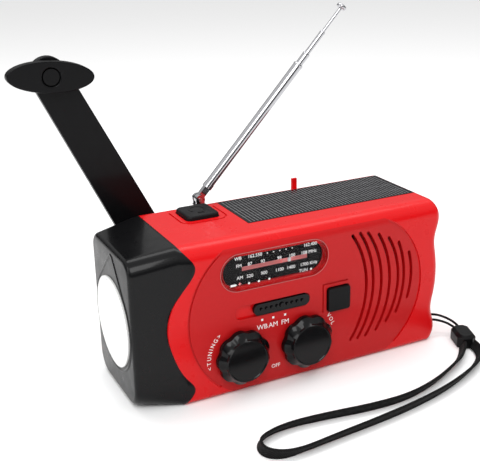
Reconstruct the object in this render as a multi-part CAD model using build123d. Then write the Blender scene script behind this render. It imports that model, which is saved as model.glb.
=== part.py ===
from build123d import *
import os
from math import acos, atan2, cos, pi, sin, tan

# Hand-crank emergency radio. X runs along the length (flashlight at -X), the front faces -Y and +Z is up.
# The origin is on the underside, 0.5 mm from the middle of the case's length.

# case
LENGTH = 127.0
DEPTH = 46.0
HEIGHT = 59.5
WALL = 2.0
EDGE_R = 6.0
BOTTOM_R = 2.5
FRONT = -DEPTH / 2
BACK = DEPTH / 2
LEFT_END = -64.0
RIGHT_END = LEFT_END + LENGTH
END_R = 3.0
INNER_FRONT = FRONT + WALL
INNER_BACK = BACK - WALL
# the back cover is shallow: it meets the front shell here
SPLIT_Y = 18.0
# flashlight cap: the straight part ends here and tapers to the end face
TAPER_X = -47.0
END_FACE_DEPTH = 40.0
END_FACE_HEIGHT = 56.0
END_FACE_Z = 28.6
END_FACE_BOTTOM_R = 9.0
CAVITY_X1 = 59.0
LENS_Z = 28.0
LENS_R = 15.4
RING_R = 16.8
# controls on the front
KNOB_R = 10.6
KNOB_RIM = 2.6
KNOB_CAP_R = 8.0
KNOB_Z = 15.0
TUNING_X = -24.6
VOLUME_X = 1.8
KNOB_GAP = 0.6
KNOB_DEPTH = 5.4
SHAFT_R = 3.0
SHAFT_IN_KNOB = 3.6
RUN_GAP = 0.05
DIAL_X0 = -31.9
DIAL_X1 = 11.8
DIAL_Z = 47.1
DIAL_HEIGHT = 14.4
NEEDLE_X = -3.3
NEEDLE_Z = 47.3
NEEDLE_SLOT_X0 = -22.5
NEEDLE_SLOT_X1 = 4.2
SLIDE_X0 = -26.5
SLIDE_X1 = 4.0
SLIDE_Z = 31.4
SLIDER_LENGTH = 22.8
SLIDER_HEIGHT = 4.3
SLIDE_TRAVEL = 7.2
SQUARE_X = 16.2
SQUARE_Z = 28.8
SQUARE_SIZE = 9.4
SPEAKER_X = 38.6
SPEAKER_Z = 31.0
SPEAKER_R = 14.5
# top
TOP_BUTTON_X = -26.0
TOP_BUTTON_Y = 9.0
TOP_BUTTON_SIZE = 13.0
SOLAR_X0 = -14.0
SOLAR_X1 = 59.2
SOLAR_Y0 = -9.7
SOLAR_Y1 = 17.4
SOLAR_THICK = 1.2
MOVING_GAP = 0.3
# crank and gears
HUB_X = -32.0
HUB_Z = 30.0
GRIP_X = -72.3
GRIP_Z = 112.9
ARM_Y0 = 27.5
ARM_THICK = 3.5
ARM_HUB_R = 8.2
ARM_TIP_R = 6.7
GRIP_Y0 = 23.6
GRIP_THICK = 3.6
GRIP_LONG = 31.0
GRIP_SHORT = 11.2
GRIP_TILT = -4.8
GRIP_PIN_R = 1.6
GRIP_PIN_HEAD_R = 2.9
CRANK_SHAFT_R = 2.5
BUSH_R = 4.2
MODULE_1 = 0.8
CRANK_TEETH = 35
IDLER_PINION_TEETH = 10
MODULE_2 = 0.6
IDLER_TEETH = 30
ROTOR_TEETH = 10
GEAR_WIDTH = 3.0
ROTOR_SHAFT_R = 1.2
IDLER_X = HUB_X + MODULE_1 * (CRANK_TEETH + IDLER_PINION_TEETH) / 2
ROTOR_X = IDLER_X + MODULE_2 * (IDLER_TEETH + ROTOR_TEETH) / 2
GEAR_1_Y = 20.0
GEAR_2_Y = 16.4
AXLE_R = 1.5
# port cover and its hinge
PORT_X = 26.0
PORT_Z = 40.0
PORT_WIDTH = 22.0
PORT_HEIGHT = 12.0
HINGE_X0 = 18.5
HINGE_X1 = 33.5
HINGE_Y = 23.0
HINGE_Z = 45.6
HINGE_R = 0.8
# ferrite rod
FERRITE_Y = 11.0
FERRITE_Z = 51.0
FERRITE_R = 3.2
# antenna
ANTENNA_X = -20.8
ANTENNA_Y = 19.6
ANTENNA_Z = 61.7
ANTENNA_ANGLE = 47.0
POST_R = 2.4
TILT_PIN_R = 0.8
# each section: start and end along the antenna from the tilt pin, outer and inner radius
MAIN_SECTION = (7.4, 64.9, 1.85, 1.50)
SECTION_2 = (16.1, 70.1, 1.42, 1.12)
SECTION_3 = (30.7, 80.7, 1.04, 0.74)
SECTION_4 = (45.9, 91.9, 0.66, 0.0)
TIP_R = 2.0
# wrist strap
PIN_X = 60.9
PIN_Y = -17.0
PIN_R = 0.8
PIN_Z0 = 3.5
PIN_Z1 = 11.9
POCKET_X0 = 57.6
POCKET_DEPTH = 6.4
POCKET_Z0 = 5.2
POCKET_Z1 = 10.2
CORD_D = 1.0
TAPE_D = 4.0
BEAD_CENTRE = (71.0, -30.5, 2.8)
BEAD_SIZE = (7.6, 12.0, 5.4)
BEAD_TURN = -20.0
CORD_ROUTE = [
    (72.1, -26.0, 2.8), (71.95, -22.33, 4.2), (65.4, -19.4, 7.0), (59.3, -18.6, 7.4), (59.3, -15.4, 7.6),
    (64.4, -15.8, 8.0), (69.8, -17.6, 7.0), (74.44, -22.81, 4.2), (73.42, -26.48, 2.8),
]
TAPE_ROUTE = [
    (70.9, -36.7, 2.1), (70.0, -42.6, 2.1), (63.4, -48.8, 2.1), (52.8, -54.2, 2.1), (38.6, -59.4, 2.1),
    (22.0, -63.0, 2.1), (5.0, -65.2, 2.1), (-11.0, -66.6, 2.1), (-23.0, -68.0, 2.1), (-31.4, -68.0, 2.1),
    (-36.6, -64.0, 2.1), (-36.0, -58.0, 2.1), (-30.4, -54.4, 2.1), (-21.0, -53.2, 2.1), (-7.0, -54.6, 2.1),
    (9.0, -57.0, 2.1), (24.0, -57.4, 2.1), (38.6, -53.6, 2.1), (51.4, -47.6, 2.1), (61.4, -42.2, 2.1),
    (67.0, -35.4, 2.1),
]


def box(x0, x1, y0, y1, z0, z1):
    return Pos((x0 + x1) / 2, (y0 + y1) / 2, (z0 + z1) / 2) * Box(x1 - x0, y1 - y0, z1 - z0)


def rod_y(x, z, y0, y1, radius):
    """A round bar along Y."""
    return Pos(x, (y0 + y1) / 2, z) * Rot(90, 0, 0) * Cylinder(radius, abs(y1 - y0))


def rod_x(x0, x1, y, z, radius):
    return Pos((x0 + x1) / 2, y, z) * Rot(0, 90, 0) * Cylinder(radius, abs(x1 - x0))


def rod_z(x, y, z0, z1, radius):
    return Pos(x, y, (z0 + z1) / 2) * Cylinder(radius, abs(z1 - z0))


def plate_y(outline, y_front, thickness):
    """Extrude an outline drawn in X and Z from y_front towards the back."""
    return extrude(Plane.XZ.offset(-y_front - thickness) * outline, thickness)


def rounded_plate_y(x, z, width, height, radius, y_front, thickness):
    return plate_y(Pos(x, z) * RectangleRounded(width, height, radius), y_front, thickness)


def rounded_plate_z(x, y, width, depth, radius, z0, thickness):
    return Pos(x, y, z0) * extrude(RectangleRounded(width, depth, radius), thickness)


def section_outline(depth, height, middle_z, top_r, bottom_r):
    """The case's cross-section, with tighter corners at the bottom than at the top."""
    outline = Pos(0, middle_z) * Rectangle(depth, height)
    outline = fillet(outline.vertices().sort_by(Axis.Y)[:2], bottom_r)
    return fillet(outline.vertices().sort_by(Axis.Y)[-2:], top_r)


def section_block(x0, x1, inset):
    """The cross-section, drawn in by an inset and extruded along X."""
    bottom_r = max(BOTTOM_R - inset, 0.5)
    outline = section_outline(DEPTH - 2 * inset, HEIGHT - 2 * inset, HEIGHT / 2, EDGE_R - inset, bottom_r)
    return Pos(x0, 0, 0) * extrude(Plane.YZ * outline, x1 - x0)


def right_of_joint():
    """Everything on the red side of the S-shaped joint with the cap."""
    joint = Spline(
        (-46.5, HEIGHT + 1), (-44.4, 57.5), (-41.0, 52.0), (-44.4, 46.0), (-49.2, 40.0), (-52.0, 30.0),
        (-49.8, 19.0), (-45.6, 10.5), (-42.8, 5.6), (-45.0, 2.0), (-47.5, -1),
    )
    far = RIGHT_END + 5
    rest = Polyline((-47.5, -1), (far, -1), (far, HEIGHT + 1), (-46.5, HEIGHT + 1))
    return plate_y(make_face([joint, rest]), FRONT - 1, DEPTH + 2)


def left_of_end():
    """Everything inside the wavy right-hand end."""
    top_x = RIGHT_END - 3.5
    wave = Spline(
        (top_x, HEIGHT + 1), (RIGHT_END - 1.4, 57.5), (RIGHT_END, 52.0), (RIGHT_END - 1.5, 44.6),
        (RIGHT_END - 0.7, 37.0), (RIGHT_END, 29.0), (RIGHT_END - 0.7, 21.0), (RIGHT_END - 1.6, 14.0),
        (RIGHT_END, 4.6), (RIGHT_END - 1.4, 1.2), (top_x, -1),
    )
    far = LEFT_END - 5
    rest = Polyline((top_x, -1), (far, -1), (far, HEIGHT + 1), (top_x, HEIGHT + 1))
    return plate_y(make_face([wave, rest]), FRONT - 1, DEPTH + 2)


def red_case():
    """The red body: rounded along both upright edges of its wavy end, and hollow."""
    case = section_block(TAPER_X - 6, RIGHT_END + 1, 0) & left_of_end()
    end = case.faces().sort_by(Axis.X)[-1]
    upright = [edge for edge in end.edges() if edge.bounding_box().size.Z > HEIGHT / 2]
    case = fillet(upright, END_R)
    return (case & right_of_joint()) - section_block(TAPER_X - 8, CAVITY_X1, WALL)


def flashlight_cap():
    """The black end: straight up to the joint, then tapering to a face with rounder lower corners."""
    straight = section_block(TAPER_X, -38, 0)
    big = Plane.YZ.offset(TAPER_X) * section_outline(DEPTH, HEIGHT, HEIGHT / 2, EDGE_R, BOTTOM_R)
    small = section_outline(END_FACE_DEPTH, END_FACE_HEIGHT, END_FACE_Z, EDGE_R, END_FACE_BOTTOM_R)
    taper = loft([big.face(), (Plane.YZ.offset(LEFT_END) * small).face()])
    taper = fillet(taper.faces().sort_by(Axis.X)[0].edges(), 2.0)
    cap = (straight + taper) - right_of_joint()
    inside = section_block(-56, -30, WALL + 1)
    bore = rod_x(LEFT_END - 1, -50, 0, LENS_Z, RING_R)
    return cap - inside - bore


def arc_slot(start, middle, end, width, y_front, thickness):
    return plate_y(SlotArc(ThreePointArc(start, middle, end), width), y_front, thickness)


def panel_grooves():
    """Two shallow arcs that frame the front panel."""
    left = arc_slot((-31.5, 55.5), (-44.5, 30.5), (-33.0, 4.5), 0.9, FRONT - 1, 1.5)
    right = arc_slot((38.5, 55.5), (53.8, 30.0), (42.5, 4.5), 0.9, FRONT - 1, 1.5)
    return left + right


def speaker_slots():
    rows = [(22.2, 6.6, 52.3, 9.8), (25.5, 6.4, 52.7, 9.8), (29.0, 6.6, 52.2, 10.0), (33.8, 5.6, 50.8, 11.4),
            (38.4, 4.9, 48.6, 14.0), (43.0, 3.0, 46.0, 17.0), (48.0, 1.4, 41.0, 22.2)]
    slots = []
    for x, bulge, top, bottom in rows:
        middle = (x + bulge, (top + bottom) / 2)
        slots.append(arc_slot((x, top), middle, (x, bottom), 1.3, FRONT - 1, WALL + 2))
    return Part() + slots


def button_frame():
    """The L-shaped groove above and left of the square button."""
    half = SQUARE_SIZE / 2
    left = box(SQUARE_X - half - 2.2, SQUARE_X - half - 1.5, FRONT - 1, FRONT + 0.5,
               SQUARE_Z - half, SQUARE_Z + half + 2.2)
    top = box(SQUARE_X - half - 2.2, SQUARE_X + half - 0.4, FRONT - 1, FRONT + 0.5,
              SQUARE_Z + half + 1.5, SQUARE_Z + half + 2.2)
    return left + top


def front_shell():
    shell = red_case() & box(-80, 80, FRONT - 1, SPLIT_Y, -1, HEIGHT + 1)
    dial_width = DIAL_X1 - DIAL_X0
    dial_x = (DIAL_X0 + DIAL_X1) / 2
    shell -= rounded_plate_y(dial_x, DIAL_Z, dial_width, DIAL_HEIGHT, DIAL_HEIGHT / 2 - 0.1, FRONT - 1, 1.9)
    shell -= rounded_plate_y(dial_x, DIAL_Z, dial_width - 3, DIAL_HEIGHT - 3, DIAL_HEIGHT / 2 - 1.6, FRONT - 1, 5)
    slide_x = (SLIDE_X0 + SLIDE_X1) / 2
    shell -= rounded_plate_y(slide_x, SLIDE_Z, SLIDE_X1 - SLIDE_X0, 5.2, 2.5, FRONT - 1, 2.2)
    shell -= box(-14.9, -3.9, FRONT - 1, FRONT + 4, SLIDE_Z - 1.1, SLIDE_Z + 1.1)
    hole = SQUARE_SIZE + 2 * MOVING_GAP
    shell -= rounded_plate_y(SQUARE_X, SQUARE_Z, hole, hole, 1.3, FRONT - 1, 5)
    shell -= button_frame()
    shell -= panel_grooves()
    shell -= speaker_slots()
    for x in (TUNING_X, VOLUME_X):
        shell -= rod_y(x, KNOB_Z, FRONT - 1, FRONT + 4, SHAFT_R + MOVING_GAP)
    shell -= top_cuts() + antenna_hole()
    shell += box(55.5, CAVITY_X1 + 0.5, INNER_FRONT - 0.5, -13.0, WALL - 0.5, 13.0)
    pocket = POCKET_DEPTH / 2
    shell -= box(POCKET_X0, RIGHT_END + 2, PIN_Y - pocket, PIN_Y + pocket, POCKET_Z0, POCKET_Z1)
    shell -= rod_z(PIN_X, PIN_Y, PIN_Z0, PIN_Z1, PIN_R)
    return shell


def top_cuts():
    """The pocket for the solar panel and the flashlight button's hole and groove."""
    pocket = box(SOLAR_X0, SOLAR_X1, SOLAR_Y0, SOLAR_Y1, HEIGHT - SOLAR_THICK + 0.1, HEIGHT + 1)
    size = TOP_BUTTON_SIZE + 2 * MOVING_GAP
    hole = rounded_plate_z(TOP_BUTTON_X, TOP_BUTTON_Y, size, size, 2.3, HEIGHT - 4, 6)
    outer = rounded_plate_z(TOP_BUTTON_X, TOP_BUTTON_Y, size + 5.2, size + 5.2, 4.2, HEIGHT - 0.5, 2)
    inner = rounded_plate_z(TOP_BUTTON_X, TOP_BUTTON_Y, size + 3.8, size + 3.8, 3.6, HEIGHT - 1, 3)
    groove = (outer - inner) & box(-60, 0, -20, TOP_BUTTON_Y + 6, 0, HEIGHT + 5)
    return pocket + hole + groove


def antenna_hole():
    return rod_z(ANTENNA_X, ANTENNA_Y, 40, HEIGHT + 5, POST_R + RUN_GAP)


def screw_places():
    return [(-36.0, 9.0), (-36.0, 51.0), (54.0, 9.0), (54.0, 51.0)]


def rear_shell():
    shell = red_case() & box(-80, 80, SPLIT_Y, BACK + 1, -1, HEIGHT + 1)
    shell -= antenna_hole()
    shell += rod_y(HUB_X, HUB_Z, BACK - 0.1, ARM_Y0 - 1.0, 11.0)
    shell -= rod_y(HUB_X, HUB_Z, INNER_BACK - 1, ARM_Y0 + 1, BUSH_R)
    shell += rod_y(IDLER_X, HUB_Z, GEAR_1_Y + 0.3, INNER_BACK + 0.1, 2.6)
    shell -= rod_y(IDLER_X, HUB_Z, GEAR_1_Y, INNER_BACK + 1.2, AXLE_R)
    gap = 2 * MOVING_GAP
    shell -= rounded_plate_y(PORT_X, PORT_Z, PORT_WIDTH + gap, PORT_HEIGHT + gap, 2.0, INNER_BACK - 1, 6)
    shell -= rod_x(HINGE_X0 - MOVING_GAP, HINGE_X1 + MOVING_GAP, HINGE_Y, HINGE_Z, HINGE_R + MOVING_GAP)
    for x, z in screw_places():
        shell -= rod_y(x, z, BACK - 1.2, BACK + 1, 2.6)
        shell -= rod_y(x, z, INNER_BACK - 1, BACK, 1.2)
    shell += box(21.8, 24.0, BACK - 1.1, BACK, HEIGHT - 3.0, HEIGHT + 3.0)
    return shell


def solar_panel():
    return box(SOLAR_X0, SOLAR_X1, SOLAR_Y0, SOLAR_Y1, HEIGHT - SOLAR_THICK + 0.1, HEIGHT + 0.1)


def knob(x):
    """A scalloped rim, a bevelled shoulder and a flat round cap."""
    y_rim = FRONT - KNOB_GAP
    rim = rod_y(x, KNOB_Z, y_rim - KNOB_RIM, y_rim, KNOB_R)
    lobes = 9
    for i in range(lobes):
        angle = 2 * pi * (i + 0.5) / lobes
        reach = KNOB_R + 4.4
        rim -= rod_y(x + reach * cos(angle), KNOB_Z + reach * sin(angle), y_rim - 6, y_rim + 1, 5.2)
    low = Plane.XZ.offset(-y_rim + KNOB_RIM) * Pos(x, KNOB_Z) * Circle(KNOB_R - 1.2)
    high = Plane.XZ.offset(-y_rim + KNOB_DEPTH) * Pos(x, KNOB_Z) * Circle(KNOB_CAP_R)
    shoulder = loft([low.face(), high.face()])
    return rim + shoulder - rod_y(x, KNOB_Z, y_rim - SHAFT_IN_KNOB, y_rim + 1, SHAFT_R)


def knob_shaft(x, length):
    return rod_y(x, KNOB_Z, FRONT - KNOB_GAP - SHAFT_IN_KNOB, FRONT - KNOB_GAP + length, SHAFT_R)


def tuning_capacitor():
    block = box(TUNING_X - 9, TUNING_X + 9, INNER_FRONT + 0.4, -11, KNOB_Z - 9, KNOB_Z + 9)
    return block - rod_y(TUNING_X, KNOB_Z, INNER_FRONT, -15, SHAFT_R + RUN_GAP)


def volume_potentiometer():
    can = rod_y(VOLUME_X, KNOB_Z, INNER_FRONT + 0.4, -12.5, 8.0)
    return can - rod_y(VOLUME_X, KNOB_Z, INNER_FRONT, -15, SHAFT_R + RUN_GAP)


def dial_window():
    width = DIAL_X1 - DIAL_X0
    x = (DIAL_X0 + DIAL_X1) / 2
    return rounded_plate_y(x, DIAL_Z, width, DIAL_HEIGHT, DIAL_HEIGHT / 2 - 0.1, FRONT - 0.1, 1.0)


def dial_plate():
    width = DIAL_X1 - DIAL_X0 + 2
    x = (DIAL_X0 + DIAL_X1) / 2
    plate = rounded_plate_y(x, DIAL_Z, width, DIAL_HEIGHT - 1.6, 2, INNER_FRONT, 0.6)
    slot = box(NEEDLE_SLOT_X0, NEEDLE_SLOT_X1, INNER_FRONT - 1, INNER_FRONT + 2, NEEDLE_Z - 0.9, NEEDLE_Z + 0.9)
    return plate - slot


def dial_needle():
    blade = box(NEEDLE_X - 0.45, NEEDLE_X + 0.45, INNER_FRONT, INNER_FRONT + 1.6, NEEDLE_Z - 0.75, NEEDLE_Z + 0.75)
    carriage = box(NEEDLE_X - 2.2, NEEDLE_X + 2.2, INNER_FRONT + 0.9, INNER_FRONT + 2.2,
                   NEEDLE_Z - 2.5, NEEDLE_Z + 2.5)
    return blade + carriage


def band_slider():
    x1 = SLIDE_X1 - 0.4
    x0 = x1 - SLIDER_LENGTH
    slider = rounded_plate_y((x0 + x1) / 2, SLIDE_Z, SLIDER_LENGTH, SLIDER_HEIGHT, 2.0, FRONT - 0.5, 1.5)
    bumps = 9
    for i in range(bumps):
        offset = i - (bumps - 1) / 2
        radius = 1.05 if offset == 0 else 0.6
        slider += rod_y((x0 + x1) / 2 + offset * 2.1, SLIDE_Z, FRONT - 1.1, FRONT - 0.2, radius)
    slider += box(-7.2, -4.2, FRONT + 0.9, INNER_FRONT + 0.8, SLIDE_Z - 0.9, SLIDE_Z + 0.9)
    return slider


def band_switch():
    return box(-18, 0, INNER_FRONT + 1.0, -14.5, SLIDE_Z - 3.2, SLIDE_Z + 3.2)


def square_button():
    size = SQUARE_SIZE
    cap = rounded_plate_y(SQUARE_X, SQUARE_Z, size, size, 1.0, FRONT - 1.3, 4.0)
    flange = size / 2 + 1.0
    return cap + box(SQUARE_X - flange, SQUARE_X + flange, INNER_FRONT + 0.1, INNER_FRONT + 1.0,
                     SQUARE_Z - flange, SQUARE_Z + flange)


def square_switch():
    return box(SQUARE_X - 3, SQUARE_X + 3, INNER_FRONT + 2.2, -8.0, SQUARE_Z - 3, SQUARE_Z + 3)


def flashlight_button():
    size = TOP_BUTTON_SIZE
    cap = rounded_plate_z(TOP_BUTTON_X, TOP_BUTTON_Y, size, size, 2.0, HEIGHT - 2.6, 4.4)
    cap = chamfer(cap.faces().sort_by(Axis.Z)[-1].edges(), 0.7)
    return cap + rounded_plate_z(TOP_BUTTON_X, TOP_BUTTON_Y, size + 1.8, size + 1.8, 2.6, HEIGHT - 3.2, 0.9)


def flashlight_switch():
    return box(TOP_BUTTON_X - 3.5, TOP_BUTTON_X + 3.5, TOP_BUTTON_Y - 3.5, TOP_BUTTON_Y + 3.5,
               HEIGHT - 9.5, HEIGHT - 4.6)


def speaker_frame():
    frame = rod_y(SPEAKER_X, SPEAKER_Z, INNER_FRONT + 0.2, -16.0, SPEAKER_R)
    return frame - rod_y(SPEAKER_X, SPEAKER_Z, INNER_FRONT - 1, -17.0, SPEAKER_R - 1.5)


def speaker_cone():
    wide = Plane.XZ.offset(-(INNER_FRONT + 0.6)) * Pos(SPEAKER_X, SPEAKER_Z) * Circle(SPEAKER_R - 1.5)
    narrow = Plane.XZ.offset(17.0) * Pos(SPEAKER_X, SPEAKER_Z) * Circle(5.0)
    return loft([wide.face(), narrow.face()])


def speaker_magnet():
    return rod_y(SPEAKER_X, SPEAKER_Z, -16.0, -9.0, 8.5)


def lens_ring():
    ring = rod_x(LEFT_END - 0.6, LEFT_END + 3.0, 0, LENS_Z, RING_R)
    return ring - rod_x(LEFT_END - 2, LEFT_END + 4, 0, LENS_Z, LENS_R)


def flashlight_lens():
    return rod_x(LEFT_END + 0.2, LEFT_END + 2.2, 0, LENS_Z, LENS_R)


def reflector():
    """A deep dish behind the lens, with a hole for the light source."""
    start = LEFT_END + 3.2
    outer = rod_x(start, -51.4, 0, LENS_Z, RING_R - 0.2)
    mouth = Plane.YZ.offset(start) * Pos(0, LENS_Z) * Circle(LENS_R - 0.4)
    throat = Plane.YZ.offset(-53.0) * Pos(0, LENS_Z) * Circle(4.0)
    dish = loft([mouth.face(), throat.face()])
    return outer - dish - rod_x(-55, -50, 0, LENS_Z, 3.0)


def led_board():
    board = rod_x(-51.2, -49.8, 0, LENS_Z, 11.0)
    return board + rod_x(-53.6, -51.2, 0, LENS_Z, 2.4)


def gear_outline(teeth, module, first_tooth):
    """Involute teeth with extra backlash, drawn as one closed outline."""
    pitch = teeth * module / 2
    base = pitch * cos(pi / 9)
    tip = pitch + 0.85 * module
    root = pitch - 1.2 * module
    involute = tan(pi / 9) - pi / 9
    half_tooth = 0.80 * pi / (2 * teeth)
    steps = 4
    start = max(base, root)
    flank = []
    for i in range(steps + 1):
        radius = start + (tip - start) * i / steps
        pressure = acos(min(1.0, base / radius))
        flank.append((radius, half_tooth + involute - (tan(pressure) - pressure)))
    points = []
    for tooth in range(teeth):
        middle = first_tooth + 2 * pi * tooth / teeth
        side = [(root, -flank[0][1])] + [(radius, -angle) for radius, angle in flank]
        side += [(radius, angle) for radius, angle in reversed(flank)] + [(root, flank[0][1])]
        points += [(radius * cos(middle + angle), radius * sin(middle + angle)) for radius, angle in side]
    return make_face(Polyline(*points, close=True))


def gear(x, teeth, module, y_back, first_tooth):
    return plate_y(Pos(x, HUB_Z) * gear_outline(teeth, module, first_tooth), y_back - GEAR_WIDTH, GEAR_WIDTH)


def crank_gear():
    return gear(HUB_X, CRANK_TEETH, MODULE_1, GEAR_1_Y, 0) - rod_y(HUB_X, HUB_Z, 0, BACK, CRANK_SHAFT_R)


def idler_gear():
    pinion = gear(IDLER_X, IDLER_PINION_TEETH, MODULE_1, GEAR_1_Y, pi + pi / IDLER_PINION_TEETH)
    hub = rod_y(IDLER_X, HUB_Z, GEAR_2_Y - 0.1, GEAR_1_Y - GEAR_WIDTH + 0.1, 2.8)
    wheel = gear(IDLER_X, IDLER_TEETH, MODULE_2, GEAR_2_Y, 0)
    return pinion + hub + wheel - rod_y(IDLER_X, HUB_Z, 0, BACK, AXLE_R + RUN_GAP)


def rotor_pinion():
    pinion = gear(ROTOR_X, ROTOR_TEETH, MODULE_2, GEAR_2_Y, pi + pi / ROTOR_TEETH)
    return pinion + rod_y(ROTOR_X, HUB_Z, 5.0, GEAR_2_Y - GEAR_WIDTH + 0.1, ROTOR_SHAFT_R)


def generator():
    can = rod_y(ROTOR_X, HUB_Z, -4.0, 12.6, 8.8)
    return can - rod_y(ROTOR_X, HUB_Z, 4.5, 14, ROTOR_SHAFT_R + RUN_GAP)


def idler_axle():
    return rod_y(IDLER_X, HUB_Z, GEAR_2_Y - GEAR_WIDTH - 1.0, INNER_BACK + 1.2, AXLE_R)


def crank_bush():
    bush = rod_y(HUB_X, HUB_Z, INNER_BACK, ARM_Y0 - 1.0, BUSH_R)
    return bush - rod_y(HUB_X, HUB_Z, 0, 40, CRANK_SHAFT_R + RUN_GAP)


def crank_shaft():
    return rod_y(HUB_X, HUB_Z, GEAR_1_Y - GEAR_WIDTH - 1, ARM_Y0 + ARM_THICK, CRANK_SHAFT_R)


def crank_arm():
    """A flat tapering lever between the hub and the grip's pin."""
    angle = atan2(GRIP_Z - HUB_Z, GRIP_X - HUB_X)
    side = (-sin(angle), cos(angle))
    corners = [
        (HUB_X + ARM_HUB_R * side[0], HUB_Z + ARM_HUB_R * side[1]),
        (GRIP_X + ARM_TIP_R * side[0], GRIP_Z + ARM_TIP_R * side[1]),
        (GRIP_X - ARM_TIP_R * side[0], GRIP_Z - ARM_TIP_R * side[1]),
        (HUB_X - ARM_HUB_R * side[0], HUB_Z - ARM_HUB_R * side[1]),
    ]
    outline = make_face(Polyline(*corners, close=True))
    outline += Pos(HUB_X, HUB_Z) * Circle(ARM_HUB_R) + Pos(GRIP_X, GRIP_Z) * Circle(ARM_TIP_R)
    arm = plate_y(outline, ARM_Y0, ARM_THICK)
    arm -= rod_y(HUB_X, HUB_Z, 20, 40, CRANK_SHAFT_R)
    return arm - rod_y(GRIP_X, GRIP_Z, 20, 40, GRIP_PIN_R)


def hub_cap():
    return rod_y(HUB_X, HUB_Z, ARM_Y0 + ARM_THICK, ARM_Y0 + ARM_THICK + 1.6, 6.4)


def grip_pin():
    """A shouldered pin, fixed in the arm, on which the grip spins."""
    pin = rod_y(GRIP_X, GRIP_Z, GRIP_Y0 + 1.4, ARM_Y0 + ARM_THICK, GRIP_PIN_R)
    return pin + rod_y(GRIP_X, GRIP_Z, GRIP_Y0 + 0.4, GRIP_Y0 + 1.4, GRIP_PIN_HEAD_R)


def crank_grip():
    outline = Pos(GRIP_X, GRIP_Z) * Rot(0, 0, GRIP_TILT) * Ellipse(GRIP_LONG / 2, GRIP_SHORT / 2)
    grip = plate_y(outline, GRIP_Y0, GRIP_THICK)
    grip -= rod_y(GRIP_X, GRIP_Z, 20, 40, GRIP_PIN_R + RUN_GAP)
    return grip - rod_y(GRIP_X, GRIP_Z, 20, GRIP_Y0 + 1.5, GRIP_PIN_HEAD_R + 0.4)


def antenna_frame(part):
    """Turn a piece built along +X from the tilt pin into its place."""
    return Pos(ANTENNA_X, ANTENNA_Y, ANTENNA_Z) * Rot(0, -ANTENNA_ANGLE, 0) * part


def antenna_post():
    post = rod_z(ANTENNA_X, ANTENNA_Y, 50.5, ANTENNA_Z - 1.9, POST_R)
    head = rod_y(ANTENNA_X, ANTENNA_Z, ANTENNA_Y - POST_R + 0.3, ANTENNA_Y + POST_R - 0.3, 1.9)
    post += head + box(ANTENNA_X - 1.7, ANTENNA_X + 1.7, ANTENNA_Y - 2.1, ANTENNA_Y + 2.1,
                       ANTENNA_Z - 2.0, ANTENNA_Z)
    slot = box(ANTENNA_X - 5, ANTENNA_X + 5, ANTENNA_Y - 1.1, ANTENNA_Y + 1.1, ANTENNA_Z - 1.85, ANTENNA_Z + 5)
    return post - slot - rod_y(ANTENNA_X, ANTENNA_Z, 0, 40, TILT_PIN_R)


def antenna_pin():
    return rod_y(ANTENNA_X, ANTENNA_Z, ANTENNA_Y - 2.3, ANTENNA_Y + 2.3, TILT_PIN_R)


def antenna_knuckle():
    tongue = Rot(90, 0, 0) * Cylinder(1.7, 2.0)
    neck = box(0, 6.0, -1.0, 1.0, -1.3, 1.3)
    collar = rod_x(5.2, MAIN_SECTION[0], 0, 0, 2.0)
    part = tongue + neck + collar - Rot(90, 0, 0) * Cylinder(TILT_PIN_R + RUN_GAP, 4)
    return antenna_frame(part)


def antenna_section(section):
    start, end, outer, inner = section
    tube = rod_x(start, end, 0, 0, outer)
    if inner > 0:
        tube -= rod_x(start - 1, end + 1, 0, 0, inner)
    return antenna_frame(tube)


def antenna_tip():
    start = SECTION_4[1]
    return antenna_frame(rod_x(start, start + 1.8, 0, 0, TIP_R))


def port_cover():
    """A soft flap with a round hinge bead along its upper edge."""
    flap = rounded_plate_y(PORT_X, PORT_Z, PORT_WIDTH, PORT_HEIGHT, 1.7, BACK - 1.6, 1.9)
    return flap + rod_x(HINGE_X0, HINGE_X1, HINGE_Y, HINGE_Z, HINGE_R)


def usb_sockets():
    """A charging output and a small charging inlet, each an open metal shell."""
    big = box(17.5, 30.5, 8, BACK - 2.4, 37.2, 42.8) - box(18.3, 29.7, 11, BACK, 38.0, 42.0)
    small = box(31.8, 35.8, 10, BACK - 2.4, 38.4, 41.6) - box(32.3, 35.3, 12, BACK, 38.9, 41.1)
    return Compound([big.solid(), small.solid()])


def main_board():
    return box(-36, 58, -7.8, -6.2, 5, 54)


def battery_cell():
    return rod_x(-16.5, 47.5, 9.5, 11.6, 8.6)


def ferrite_rod():
    return rod_x(4, 50, FERRITE_Y, FERRITE_Z, FERRITE_R)


def ferrite_coil():
    coil = rod_x(20, 34, FERRITE_Y, FERRITE_Z, FERRITE_R + 1.0)
    return coil - rod_x(19, 35, FERRITE_Y, FERRITE_Z, FERRITE_R)


def case_screws():
    screws = []
    for x, z in screw_places():
        head = rod_y(x, z, BACK - 1.2, BACK - 0.3, 2.5)
        screws.append((head + rod_y(x, z, 14, BACK - 1.2, 1.2)).solid())
    return Compound(screws)


def strap_pin():
    return rod_z(PIN_X, PIN_Y, PIN_Z0, PIN_Z1, PIN_R)


def route_radii(points, name):
    """Each bend takes 0.45 of its shorter run."""
    radii = []
    for a, b, c in zip(points, points[1:], points[2:]):
        before = Vector(*b) - Vector(*a)
        after = Vector(*c) - Vector(*b)
        turn = before.get_angle(after) * pi / 180
        radii.append(0.45 * min(before.length, after.length) / tan(turn / 2))
    print(name, "radii", [round(radius, 1) for radius in radii])
    return radii


def cord_tube(points, diameter, name):
    path = FilletPolyline(*points, radius=route_radii(points, name))
    start = Plane(origin=path @ 0, z_dir=path % 0)
    tube = sweep(start * Circle(diameter / 2), path=path)
    expected = pi * diameter ** 2 / 4 * path.length
    print(name, "length", round(path.length, 1), "volume", round(tube.volume, 1), "expected", round(expected, 1))
    return tube


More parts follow.
